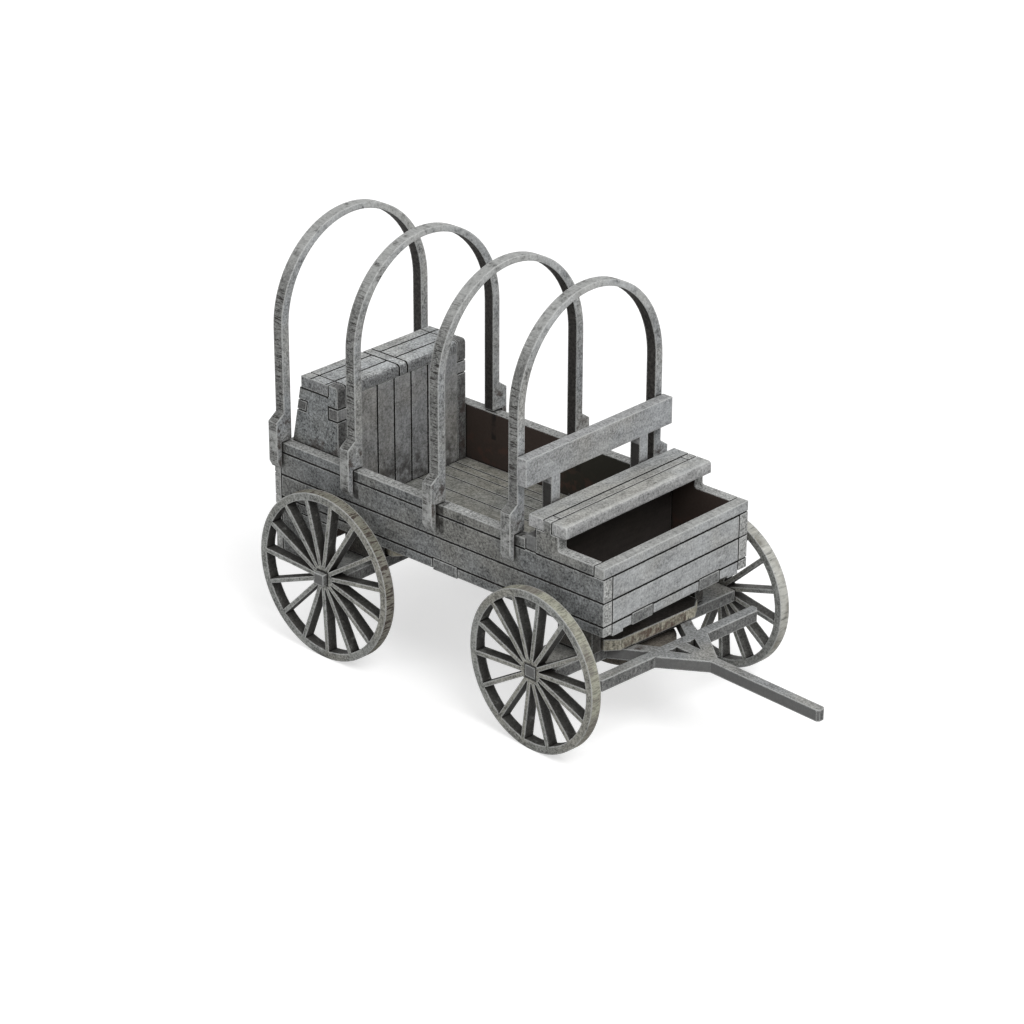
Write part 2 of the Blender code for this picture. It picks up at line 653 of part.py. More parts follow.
def lid_lines(rear, front, top):
    """Engraved lines of the lid: planks across, a strap amidships and a strip at each end."""
    half_line = LINE_WIDTH / 2
    face = top - LINE_DEPTH
    above = top + CUTTER_REACH
    end_y = BOX_HALF_WIDTH - BOARD - half_line
    strap_low, strap_high = LID_STRAP_Y
    lines = []
    for y in (-end_y, end_y, strap_low, strap_high):
        low = (rear - CUTTER_REACH, y - half_line, face)
        lines.append((low, (front + CUTTER_REACH, y + half_line, above)))
    corner = 2 * LINE_DEPTH
    for y in (strap_low, strap_high):
        low = (front - LINE_DEPTH, y - half_line, top - BOARD - CUTTER_REACH)
        lines.append((low, (front + CUTTER_REACH, y + half_line, above)))
        low = (front - corner, y - half_line, top - corner)
        lines.append((low, (front + CUTTER_REACH, y + half_line, above)))
    for from_tail in LID_LINES_FROM_TAIL:
        x = TAIL_X + from_tail
        for y_low, y_high in ((-end_y, strap_low), (strap_high, end_y)):
            lines.append(((x - half_line, y_low, face), (x + half_line, y_high, above)))
    return lines


def wheel_shape(radius, spokes, turn):
    """Outline and holes of a wheel: rim, straight spokes and a hub with a square hole for the tenon."""
    inner = radius - RIM_WIDTH
    half_spoke = SPOKE_WIDTH / 2
    pitch = math.tau / spokes
    rim_margin = math.asin(half_spoke / inner)
    hub_margin = math.asin(half_spoke / HUB_RADIUS)
    holes = []
    for index in range(spokes):
        low = turn + index * pitch
        high = low + pitch
        window = arc((0, 0), inner, low + rim_margin, high - rim_margin, RIM_STEPS)
        window += arc((0, 0), HUB_RADIUS, high - hub_margin, low + hub_margin, HUB_STEPS)
        holes.append(window)
    half_hole = TENON_WIDTH / 2 + TENON_PLAY
    half_height = BOARD / 2 + TENON_PLAY
    holes.append(rectangle(-half_hole, -half_height, half_hole, half_height))
    return circle((0, 0), radius, WHEEL_STEPS), holes


def build_wheel(name, centre, radius, spokes, turn, material, parent=None):
    outline, holes = wheel_shape(radius, spokes, turn)
    board(name, outline, LENGTHWISE, centre, material, holes=holes, parent=parent, smooth=True)


def axle_half(axle_y, tenon_end):
    """Half outline of an axle plate about its own middle, from its rear edge round to its front edge."""
    half_tenon = TENON_WIDTH / 2
    return [
        (-AXLE_HALF_WIDTH, axle_y),
        (-half_tenon, axle_y),
        (-half_tenon, tenon_end),
        (half_tenon, tenon_end),
        (half_tenon, axle_y),
        (AXLE_HALF_WIDTH, axle_y),
    ]


def hanger_outline(bottom):
    """Bolster board under a side of the bed, about the axle's line."""
    top = FLOOR_BOTTOM - SEAM
    return rectangle(-AXLE_HALF_WIDTH, bottom, AXLE_HALF_WIDTH, top)


def bolster_outline():
    """Bolster plate with its corners cut off, so that it can turn between the two hangers."""
    half = [
        (-BOLSTER_FRONT, BOLSTER_FRONT_HALF),
        (-BOLSTER_SIDE, BOLSTER_SIDE_HALF),
        (BOLSTER_SIDE, BOLSTER_SIDE_HALF),
        (BOLSTER_FRONT, BOLSTER_FRONT_HALF),
    ]
    return mirrored(half)


def build_rear_gear(grey, dark, khaki):
    """Rear axle plate with its wheels, bolster plate and hangers, all fixed to the bed."""
    axle_z = REAR_WHEEL_RADIUS
    axle_y = WHEEL_INNER_Y - SEAM
    tenon_end = WHEEL_INNER_Y + BOARD + REAR_TENON_PROUD
    centre = (REAR_AXLE_X, 0, axle_z)
    board("rear_axle", mirrored(axle_half(axle_y, tenon_end)), FLAT, centre, grey)

    outline = hanger_outline(axle_z + BOARD / 2 + SEAM)
    board("rear_hanger_right", outline, LENGTHWISE, (REAR_AXLE_X, -HANGER_Y, 0), dark)
    board("rear_hanger_left", outline, LENGTHWISE, (REAR_AXLE_X, HANGER_Y, 0), dark)
    bolster_z = axle_z + BOARD + SEAM
    board("rear_bolster", bolster_outline(), FLAT, (REAR_AXLE_X, 0, bolster_z), khaki)

    wheel_y = WHEEL_INNER_Y + BOARD / 2
    for side, sign in (("right", -1), ("left", 1)):
        centre = (REAR_AXLE_X, sign * wheel_y, axle_z)
        build_wheel(f"wheel_rear_{side}", centre, REAR_WHEEL_RADIUS, REAR_SPOKES, REAR_SPOKE_TURN, grey)


def pole_plate_shape():
    """Front axle, hounds, splinter bar and pole, cut as one plate; the king pin is at the origin."""
    axle_y = WHEEL_INNER_Y - SEAM
    tenon_end = WHEEL_INNER_Y + BOARD
    inner_at_bar, outer_at_bar = HOUND_AT_BAR
    inner_at_axle, outer_at_axle = HOUND_AT_AXLE
    half = axle_half(axle_y, tenon_end) + [
        (AXLE_HALF_WIDTH, outer_at_axle),
        (BAR_REAR, outer_at_bar),
        (BAR_REAR, BAR_HALF),
        (BAR_FRONT - BAR_CHAMFER, BAR_HALF),
        (BAR_FRONT, BAR_HALF - BAR_CHAMFER),
        (BAR_FRONT, BRACE_AT_BAR),
        (BRACE_END, POLE_HALF),
        (POLE_TIP - POLE_TIP_CHAMFER, POLE_HALF),
        (POLE_TIP, POLE_HALF - POLE_TIP_CHAMFER),
    ]
    between_hounds = [
        (AXLE_HALF_WIDTH, inner_at_axle),
        (BAR_REAR, inner_at_bar),
        (BAR_REAR, -inner_at_bar),
        (AXLE_HALF_WIDTH, -inner_at_axle),
    ]
    holes = [between_hounds, circle((0, 0), KING_PIN_RADIUS + TURN_GAP, PIN_STEPS)]
    for sign in (-1, 1):
        holes.append([
            (BAR_FRONT, sign * GUSSET_HOLE_NEAR),
            (BAR_FRONT, sign * GUSSET_HOLE_FAR),
            (GUSSET_HOLE_TIP, sign * GUSSET_HOLE_NEAR),
        ])
    return mirrored(half), holes


def build_front_gear(grey, dark, khaki, brown):
    """Fixed hangers and king pin, and the gear that turns about the pin with its wheels and pole."""
    axle_z = FRONT_WHEEL_RADIUS
    plate_top = axle_z + BOARD / 2
    outline = hanger_outline(plate_top + TURN_GAP)
    board("front_hanger_right", outline, LENGTHWISE, (KING_PIN_X, -HANGER_Y, 0), dark)
    board("front_hanger_left", outline, LENGTHWISE, (KING_PIN_X, HANGER_Y, 0), dark)

    disc_top = axle_z - BOARD / 2 - TURN_GAP
    pin_bottom = disc_top + SEAM
    pin_top = FLOOR_BOTTOM - SEAM
    pin_centre = (KING_PIN_X, 0, (pin_bottom + pin_top) / 2)
    pin = circle((0, 0), KING_PIN_RADIUS, PIN_STEPS)
    board("king_pin", pin, FLAT, pin_centre, brown, thickness=pin_top - pin_bottom, smooth=True)
    disc = circle((0, 0), KING_DISC_RADIUS, DISC_STEPS)
    board("king_disc", disc, FLAT, (KING_PIN_X, 0, disc_top - BOARD / 2), brown, smooth=True)

    gear = bpy.data.objects.new("front_gear_pivot", None)
    gear.location = (KING_PIN_X, 0, 0)
    gear.rotation_euler = (0, 0, STEER_ANGLE)
    bpy.context.scene.collection.objects.link(gear)

    outline, holes = pole_plate_shape()
    board("front_axle_and_pole", outline, FLAT, (0, 0, axle_z), grey, holes=holes, parent=gear)
    bolster_z = plate_top + SEAM + BOARD / 2
    pin_hole = circle((0, 0), KING_PIN_RADIUS + TURN_GAP, PIN_STEPS)
    board("front_bolster", bolster_outline(), FLAT, (0, 0, bolster_z), khaki, holes=[pin_hole], parent=gear)

    wheel_y = WHEEL_INNER_Y + BOARD / 2
    for side, sign, turn in zip(("right", "left"), (-1, 1), FRONT_SPOKE_TURNS):
        centre = (0, sign * wheel_y, axle_z)
        name = f"wheel_front_{side}"
        build_wheel(name, centre, FRONT_WHEEL_RADIUS, FRONT_SPOKES, turn, grey, parent=gear)


def main():
    clear_scene()
    grey = paint("weathered_grey", PAINT_GREY)
    light = paint("weathered_light", PAINT_LIGHT)
    dark = paint("weathered_dark", PAINT_DARK)
    khaki = paint("weathered_khaki", PAINT_KHAKI)
    brown = paint("bare_brown", BARE_BROWN)
    build_body(grey, light, dark)
    build_hoops(light)
    build_seat(grey, light, dark)
    build_chuck_box(grey, light)
    build_rear_gear(grey, dark, khaki)
    build_front_gear(grey, dark, khaki, brown)


main()
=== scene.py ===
"""Looks of the chuck wagon model: weathered grey paint over laser-cut board, camera, floor and light."""
import math

import bpy
from mathutils import Matrix, Vector


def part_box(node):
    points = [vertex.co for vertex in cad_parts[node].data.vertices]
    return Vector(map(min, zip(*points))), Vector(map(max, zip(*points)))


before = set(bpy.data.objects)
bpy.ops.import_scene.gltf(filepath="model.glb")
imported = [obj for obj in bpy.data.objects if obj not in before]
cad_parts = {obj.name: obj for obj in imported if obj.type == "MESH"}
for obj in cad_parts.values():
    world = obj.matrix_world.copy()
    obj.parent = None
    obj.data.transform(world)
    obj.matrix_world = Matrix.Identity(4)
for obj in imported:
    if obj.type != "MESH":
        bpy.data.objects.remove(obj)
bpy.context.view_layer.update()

MM = 0.001

# Camera, from the fit of the photograph's edges; the lens goes with a sensor as wide as the picture
CAMERA_PLACE = Vector((327.9 * MM, -371.9 * MM, 260.9 * MM))
CAMERA_AZIMUTH = math.radians(42.66)
CAMERA_ELEVATION = math.radians(24.88)
CAMERA_ROLL = math.radians(0.19)
SENSOR_MM = 36.0
LENS_MM = 117.2

# Floor and light: half the floor's width in metres, its grey, what it adds to what the camera sees of it,
# and how bright the world is as a light
FLOOR_REACH = 6.0
FLOOR_GREY = 0.6
FLOOR_LIFT = 0.58
WORLD_LIGHT = 0.45

# Linear colours of the paint, with the painted highlight on free edges and the painted shade in corners and
# between pieces
WHITE = (1.0, 1.0, 1.0)
PALE_PAINT_AND_HIGHLIGHT = (0.60, 0.61, 0.60)
BURN_AND_SHADE = (0.009, 0.008, 0.007)
GRIME_AND_SHADE = (0.030, 0.026, 0.022)
SOOT = (0.028, 0.026, 0.024)
UMBER = (0.040, 0.026, 0.020)
DARK_OLIVE = (0.022, 0.021, 0.015)
RED_BROWN = (0.075, 0.038, 0.028)
OLIVE = (0.44, 0.44, 0.352)
DULL_OLIVE = (0.24, 0.235, 0.185)
TAN = (0.22, 0.21, 0.18)
PALE_TREAD = (0.54, 0.54, 0.50)

# Factors on a colour, in warmer and colder patches and in dark pits
WARMER = (1.02, 1.0, 0.95)
COLDER = (0.98, 1.0, 1.02)
PITTED = (0.36, 0.355, 0.35)

# How far the paint feels a free edge, the open air, a corner, another piece and an engraved line: the free
# edge gets dry-brushing and a painted highlight, and the corner and the other piece get grime, burnt joints
# and painted shade
EDGE_REACH = 0.42 * MM
OPEN_REACH = 0.8 * MM
CORNER_REACH = 2.6 * MM
SEAM_REACH = 0.5 * MM
GROOVE_REACH = 0.34 * MM

# Ways that a face looks: the pole points forwards, and the photograph shows the right side
FORWARDS = (1.0, 0.0, 0.0)
BACKWARDS = (-1.0, 0.0, 0.0)
LEFT = (0.0, 1.0, 0.0)
RIGHT = (0.0, -1.0, 0.0)
UPWARDS = (0.0, 0.0, 1.0)

# The way across a sheet of board, by the axis it lies across
ACROSS = {"X": (1.0, 0.0, 0.0), "Y": (0.0, 1.0, 0.0), "Z": (0.0, 0.0, 1.0)}

# How the streaks are stretched: few to the millimetre along the grain
ALONG_X = (0.16, 1.0, 1.0)
ALONG_Y = (1.0, 0.16, 1.0)
ALONG_Z = (1.0, 1.0, 0.16)
NO_GRAIN = (1.0, 1.0, 1.0)

# Heights in millimetres of the engraved lines round the body: under the rail, and between the planks
RAIL_LINE = 31.95
PLANK_LINES = (27.8, 23.65)


def add(tree, kind, inputs=(), **settings):
    """Adds a node: each input is a socket to link from, or a value to set."""
    made = tree.nodes.new(kind)
    for name, value in settings.items():
        setattr(made, name, value)
    for socket, value in dict(inputs).items():
        if isinstance(value, bpy.types.NodeSocket):
            tree.links.new(value, made.inputs[socket])
        else:
            made.inputs[socket].default_value = value
    return made


def maths(tree, operation, first, second=0.0, clamp=False):
    inputs = {0: first, 1: second}
    return add(tree, "ShaderNodeMath", inputs, operation=operation, use_clamp=clamp).outputs[0]


def vector_maths(tree, operation, first, second=(0.0, 0.0, 0.0)):
    inputs = {0: first, 1: second}
    return add(tree, "ShaderNodeVectorMath", inputs, operation=operation).outputs


def scaled(tree, vector, factor):
    """A vector or a colour times a number."""
    inputs = {0: vector, "Scale": factor}
    return add(tree, "ShaderNodeVectorMath", inputs, operation="SCALE").outputs["Vector"]


def stretched(tree, place, factors):
    return vector_maths(tree, "MULTIPLY", place, factors)["Vector"]


def fade(tree, value, start, end):
    """Nought on the start's side of a stretch, one on the end's side, smooth between."""
    inputs = {"Value": value, "From Min": start, "From Max": end}
    made = add(tree, "ShaderNodeMapRange", inputs, interpolation_type="SMOOTHSTEP")
    return made.outputs["Result"]


def within(tree, value, low, high, soft):
    """One between two values, fading to nought over a soft margin outside them."""
    rise = fade(tree, value, low - soft, low)
    return maths(tree, "MULTIPLY", rise, fade(tree, value, high + soft, high))


def blend(tree, factor, below, above, mode="MIX"):
    """Colour above laid over colour below by a factor."""
    made = add(tree, "ShaderNodeMix", data_type="RGBA", blend_type=mode)
    for index, value in ((0, factor), (6, below), (7, above)):
        if isinstance(value, bpy.types.NodeSocket):
            tree.links.new(value, made.inputs[index])
        elif index == 0:
            made.inputs[index].default_value = value
        else:
            made.inputs[index].default_value = (*value, 1.0)
    return made.outputs[2]


def noise(tree, vector, scale, detail, roughness=0.5):
    """Noise with so many features to the millimetre."""
    inputs = {"Vector": vector, "Scale": scale, "Detail": detail, "Roughness": roughness}
    return add(tree, "ShaderNodeTexNoise", inputs).outputs["Fac"]


def uneven(tree, bands):
    """One, plus each noise's swing about its middle times its weight."""
    total = 1.0
    for band, weight in bands:
        swing = maths(tree, "MULTIPLY", maths(tree, "SUBTRACT", band, 0.5), weight)
        total = maths(tree, "ADD", swing, total)
    return maths(tree, "MAXIMUM", total, 0.15)


def facing(tree, normal, way):
    """How far a face looks one way: one when it looks straight that way."""
    return vector_maths(tree, "DOT_PRODUCT", normal, way)["Value"]


def turned_to(tree, normal, way):
    """One on the faces that look one way, nought on the others."""
    return fade(tree, facing(tree, normal, way), 0.6, 0.8)


def openness(tree, reach, samples=8, only_local=False):
    """How open a point lies to what is around it within a reach."""
    inputs = {"Distance": reach}
    made = add(tree, "ShaderNodeAmbientOcclusion", inputs, samples=samples, only_local=only_local)
    return made.outputs["AO"]


def patched(tree, place, face):
    """The colour of the sheet's faces, in colder and warmer patches."""
    warm = blend(tree, 1.0, face, WARMER, "MULTIPLY")
    cold = blend(tree, 1.0, face, COLDER, "MULTIPLY")
    hue = noise(tree, place, scale=0.06, detail=3.0)
    return blend(tree, fade(tree, hue, 0.38, 0.62), cold, warm)


def hatched(tree, place, mottle, cut, sheet, strength, scale):
    """The colour of the sheet's laser-cut edges, with short dark scratches across them in places."""
    lie = tuple(0.45 if part else scale for part in ACROSS[sheet])
    scratches = noise(tree, stretched(tree, place, lie), scale=1.0, detail=3.0, roughness=0.6)
    scratches = maths(tree, "MULTIPLY", fade(tree, scratches, 0.50, 0.62), fade(tree, mottle, 0.36, 0.56))
    return blend(tree, maths(tree, "MULTIPLY", scratches, strength), cut, SOOT)


def weathered(tree, colour, bands, flecks, speckle):
    """A colour made uneven by bands of noise, with dark pits."""
    colour = scaled(tree, colour, uneven(tree, bands))
    pits = maths(tree, "MULTIPLY", fade(tree, flecks, 0.56, 0.68), 0.68 * speckle)
    return blend(tree, pits, colour, blend(tree, 1.0, colour, PITTED, "MULTIPLY"))


def dry_brushed_and_highlit(tree, colour, normal, rounded, grit, wear_and_highlight):
    """Light paint on the free edges, where a nearly dry brush leaves it, and a painted highlight on the
    rounded edges.
    """
    bend = vector_maths(tree, "DOT_PRODUCT", rounded, normal)["Value"]
    amount = maths(tree, "MULTIPLY", fade(tree, bend, 0.99, 0.88), fade(tree, grit, 0.22, 0.5))
    free = fade(tree, openness(tree, OPEN_REACH, only_local=True), 0.8, 0.97)
    amount = maths(tree, "MULTIPLY", maths(tree, "MULTIPLY", amount, free), 0.8 * wear_and_highlight)
    return blend(tree, amount, colour, PALE_PAINT_AND_HIGHLIGHT)


def dirtied_and_shaded(tree, colour, grime_and_shade):
    """Grime and painted shade in corners, burnt joints and painted shade where pieces meet, and the burnt
    bottom of engraved lines.
    """
    corner = fade(tree, openness(tree, CORNER_REACH), 0.72, 0.25)
    colour = blend(tree, maths(tree, "MULTIPLY", corner, 0.85 * grime_and_shade), colour, GRIME_AND_SHADE)
    seam = fade(tree, openness(tree, SEAM_REACH), 0.78, 0.5)
    colour = blend(tree, maths(tree, "MULTIPLY", seam, 0.8 * grime_and_shade), colour, BURN_AND_SHADE)
    groove = fade(tree, openness(tree, GROOVE_REACH, samples=10, only_local=True), 0.84, 0.58)
    return blend(tree, groove, colour, BURN_AND_SHADE)


def paint(
    name, face, cut, sheet, grain,
    hatch=0.35, hatch_scale=2.8, speckle=1.0, wear_and_highlight=1.0, grime_and_shade=1.0, stains=None, lines=None,
):
    """Gives a CAD node weathered paint on board.

    face and cut are the colours of the sheet's faces and of its laser-cut edges, sheet is the axis across
    the sheet, and grain is how the streaks are stretched. hatch is how dark the scratches on the cut edges
    are, and hatch_scale how many there are to the millimetre. speckle, wear_and_highlight and
    grime_and_shade are the strengths of the pits, of the dry-brushed edges with their painted highlight,
    and of the dirt with the painted shade in corners and between pieces. stains lie under the dry-brushed
    edges, and lines lie over them.
    """
    material = bpy.data.materials.new(name)
    material.use_nodes = True
    tree = material.node_tree
    shader = tree.nodes["Principled BSDF"]
    place = scaled(tree, add(tree, "ShaderNodeTexCoord").outputs["Object"], 1.0 / MM)
    normal = add(tree, "ShaderNodeNewGeometry").outputs["True Normal"]
    rounded = add(tree, "ShaderNodeBevel", {"Radius": EDGE_REACH}, samples=6).outputs[0]
    is_cut = fade(tree, maths(tree, "ABSOLUTE", facing(tree, normal, ACROSS[sheet])), 0.75, 0.6)

    mottle = noise(tree, place, scale=0.3, detail=4.0, roughness=0.6)
    streak = noise(tree, stretched(tree, place, grain), scale=1.4, detail=3.0, roughness=0.6)
    grit = noise(tree, place, scale=2.6, detail=4.0, roughness=0.75)
    flecks = noise(tree, place, scale=1.9, detail=5.0, roughness=0.7)

    edges = hatched(tree, place, mottle, cut, sheet, hatch, hatch_scale)
    colour = blend(tree, is_cut, patched(tree, place, face), edges)
    bands = ((mottle, 0.3 + speckle), (streak, 0.8), (grit, 3.6 * speckle))
    colour = weathered(tree, colour, bands, flecks, speckle)
    if stains:
        colour = stains(tree, colour, place, normal)
    colour = dry_brushed_and_highlit(tree, colour, normal, rounded, grit, wear_and_highlight)
    if lines:
        colour = lines(tree, colour, place, normal)
    tree.links.new(dirtied_and_shaded(tree, colour, grime_and_shade), shader.inputs["Base Color"])

    height = maths(tree, "SUBTRACT", grit, maths(tree, "MULTIPLY", flecks, 0.6))
    relief = {"Strength": 0.3, "Distance": 0.08 * MM, "Height": height, "Normal": rounded}
    tree.links.new(add(tree, "ShaderNodeBump", relief).outputs["Normal"], shader.inputs["Normal"])
    shader.inputs["Roughness"].default_value = 0.8
    shader.inputs["Specular IOR Level"].default_value = 0.3
    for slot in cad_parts[name].material_slots:
        slot.material = material


def kept_to(tree, factor, place, spans, soft):
    """A factor kept to the stretches given on the three axes, in millimetres."""
    parts = add(tree, "ShaderNodeSeparateXYZ", {0: place}).outputs
    for part, span in zip(parts, spans):
        if span:
            factor = maths(tree, "MULTIPLY", factor, within(tree, part, *span, soft))
    return factor


def stain(colour, strength, looks=None, x=None, y=None, z=None, soft=1.0, patchy=0.0):
    """Layer of one colour, on the faces that look one way and on the stretches given on the axes."""
    def lay(tree, below, place, normal):
        factor = kept_to(tree, strength, place, (x, y, z), soft)
        if looks:
            factor = maths(tree, "MULTIPLY", factor, turned_to(tree, normal, looks))
        if patchy:
            patches = noise(tree, place, scale=0.5, detail=4.0, roughness=0.65)
            patches = fade(tree, patches, 0.5 - 0.3 * (1.0 - patchy), 0.62)
            factor = maths(tree, "MULTIPLY", factor, patches)
        return blend(tree, factor, below, colour)
    return lay


def ruled(axis, places, looks, x=None, y=None, z=None):
    """Layer of soot along engraved lines, at places in millimetres on one axis, which widens them."""
    far = 10.0

    def lay(tree, below, place, normal):
        along = add(tree, "ShaderNodeSeparateXYZ", {0: place}).outputs[axis]
        nearest = far
        for line in places:
            distance = maths(tree, "ABSOLUTE", maths(tree, "SUBTRACT", along, line))
            nearest = maths(tree, "MINIMUM", distance, nearest)
        ragged = maths(tree, "MULTIPLY", noise(tree, place, scale=1.5, detail=3.0, roughness=0.7), 0.2)
        factor = fade(tree, maths(tree, "ADD", nearest, ragged), 0.34, 0.24)
        factor = maths(tree, "MULTIPLY", factor, turned_to(tree, normal, looks))
        return blend(tree, kept_to(tree, factor, place, (x, y, z), soft=0.05), below, BURN_AND_SHADE)
    return lay


def layers(*stack):
    """Several layers, each laid over the one before."""
    def lay(tree, colour, place, normal):
        for layer in stack:
            colour = layer(tree, colour, place, normal)
        return colour
    return lay


def paler_crown(low, high, share):
    """Layer that lightens a hoop's crown, more and more between two heights in millimetres."""
    def lay(tree, colour, place, normal):
        parts = add(tree, "ShaderNodeSeparateXYZ", {0: place}).outputs
        patches = fade(tree, noise(tree, place, scale=0.6, detail=3.0, roughness=0.6), 0.3, 0.5)
        factor = maths(tree, "MULTIPLY", fade(tree, parts["Z"], low, high), patches)
        return blend(tree, maths(tree, "MULTIPLY", factor, share), colour, PALE_PAINT_AND_HIGHLIGHT)
    return lay


def inside_of_hoop(centre_z):
    """Layer that darkens the inner edge of a hoop, whose arch has its middle at a height in millimetres."""
    def lay(tree, colour, place, normal):
        middle = vector_maths(tree, "SUBTRACT", place, (0.0, 0.0, centre_z))["Vector"]
        outwards = vector_maths(tree, "MULTIPLY", middle, (0.0, 1.0, 1.0))["Vector"]
        way = vector_maths(tree, "DOT_PRODUCT", normal, outwards)["Value"]
        specks = noise(tree, place, scale=2.0, detail=4.0, roughness=0.7)
        dark = scaled(tree, SOOT, uneven(tree, ((specks, 6.0),)))
        return blend(tree, fade(tree, way, -0.5, -3.0), colour, dark)
    return lay


def tread_of(centre, radius, pale, streaked, scorched):
    """Layer for a wheel: pale, tan and streaked blotches round the tread, scorched sides on the spokes."""
    def lay(tree, colour, place, normal):
        from_centre = vector_maths(tree, "SUBTRACT", place, tuple(centre))["Vector"]
        flat = vector_maths(tree, "MULTIPLY", from_centre, (1.0, 0.0, 1.0))["Vector"]
        reach = vector_maths(tree, "LENGTH", flat)["Value"]
        is_cut = fade(tree, maths(tree, "ABSOLUTE", facing(tree, normal, ACROSS["Y"])), 0.7, 0.5)
        on_tread = maths(tree, "MULTIPLY", fade(tree, reach, radius - 0.5, radius - 0.3), is_cut)
        patches = noise(tree, place, scale=0.2, detail=3.0, roughness=0.6)
        tread = blend(tree, fade(tree, patches, 0.45, 0.66), pale, TAN)
        across = stretched(tree, place, (2.4, 0.35, 2.4))
        streaks = noise(tree, across, scale=1.0, detail=3.0, roughness=0.65)
        tread = scaled(tree, tread, uneven(tree, ((streaks, 3.4), (patches, 1.0))))
        dark = maths(tree, "MULTIPLY", fade(tree, streaks, 0.49, 0.58), streaked)
        tread = blend(tree, dark, tread, UMBER)
        colour = blend(tree, maths(tree, "MULTIPLY", on_tread, 0.9), colour, tread)
        in_spokes = maths(tree, "SUBTRACT", is_cut, on_tread, clamp=True)
        burns = fade(tree, noise(tree, place, scale=0.5, detail=3.0, roughness=0.6), 0.15, 0.45)
        burnt = maths(tree, "MULTIPLY", maths(tree, "MULTIPLY", in_spokes, burns), scorched)
        return blend(tree, burnt, colour, SOOT)
    return lay


def finish_walls(side, rail):
    """The two side walls, brown inside, in the grey darkened as painted shade, with a black mark in front
    of each hoop that is part burn and part painted shade.
    """
    middle_of_bed = (-16.0, 4.0)
    foot_of_wall = (20.0, 27.0)
    hoop_foot = (29.0, 36.0)
    stain_width = 0.7
    behind_bench = (-53.0, 4.2)
    before_bench = (6.9, 19.0)
    hoop_fronts = [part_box(f"hoop_{number}")[1].x / MM for number in (2, 3, 4)]
    # A black mark on the wall in front of each hoop's foot: part burn, part painted shade
    by_hoops = [
        stain(BURN_AND_SHADE, 0.85, x=(front, front + stain_width), z=hoop_foot, soft=0.35, patchy=0.45)
        for front in hoop_fronts
    ]
    for name, inside, outside in (("side_right", LEFT, RIGHT), ("side_left", RIGHT, LEFT)):
        stains = layers(
            stain(UMBER, 0.96, inside),
            stain(DARK_OLIVE, 0.9, inside, x=middle_of_bed, soft=4.0),
            stain(RED_BROWN, 0.6, inside, z=foot_of_wall, soft=3.0, patchy=0.9),
            *by_hoops,
        )
        lines = layers(
            ruled("Z", PLANK_LINES, outside),
            ruled("Z", (RAIL_LINE,), outside, x=behind_bench),
            ruled("Z", (RAIL_LINE,), outside, x=before_bench),
        )
        paint(name, side, rail, "Y", ALONG_X, hatch=0.45, speckle=1.2, stains=stains, lines=lines)


def finish_body():
    """The walls, the boards at both ends and the floor of the body."""
    # side is the one grey darkened as painted shade, on the walls, the tail board and the floor's edges;
    # front is the same grey lightened as painted light, on the front board
    side = (0.165, 0.168, 0.166)
    rail = (0.35, 0.354, 0.345)
    front = (0.36, 0.362, 0.358)
    floor = (0.235, 0.234, 0.215)
    corner_lines = (-15.75, 15.75)
    below_rail = (21.0, 31.9)
    finish_walls(side, rail)
    inside = stain(UMBER, 0.95, BACKWARDS)
    lines = layers(
        ruled("Z", (RAIL_LINE, *PLANK_LINES), FORWARDS),
        ruled("Y", corner_lines, FORWARDS, z=below_rail),
    )
    paint("front_board", front, rail, "X", ALONG_Y, speckle=0.6, stains=inside, lines=lines)
    inside = stain(UMBER, 0.95, FORWARDS)
    paint("tail_board", side, rail, "X", ALONG_Y, stains=inside)
    paint("bed_floor", floor, side, "Z", ALONG_X, grime_and_shade=0.9)


def finish_hoops():
    """The four hoops, brown at the foot from grime and painted shade, dark along the inner edge and paler
    at the crown.
    """
    face = (0.285, 0.29, 0.292)
    cut = (0.18, 0.182, 0.176)
    foot = (28.0, 37.0)
    overlap = (30.0, 39.0)
    shoulder = (36.5, 39.2)
    crown = (60.0, 69.0)
    for number in range(1, 5):
        name = f"hoop_{number}"
        low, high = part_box(name)
        half_width = (high.y - low.y) / 2
        stains = layers(
            # Brown on the forward faces at the foot: grime and painted shade
            stain(UMBER, 0.8, FORWARDS, z=foot, soft=2.0, patchy=0.9),
            stain(PALE_PAINT_AND_HIGHLIGHT, 0.45, RIGHT, z=overlap, soft=0.6, patchy=0.6),
            stain(BURN_AND_SHADE, 0.9, RIGHT, z=shoulder, soft=0.5, patchy=0.9),
            paler_crown(*crown, 0.42),
            inside_of_hoop((high.z - half_width) / MM),
        )
        paint(name, face, cut, "X", NO_GRAIN, hatch=1.6, hatch_scale=4.5, speckle=1.1, stains=stains)


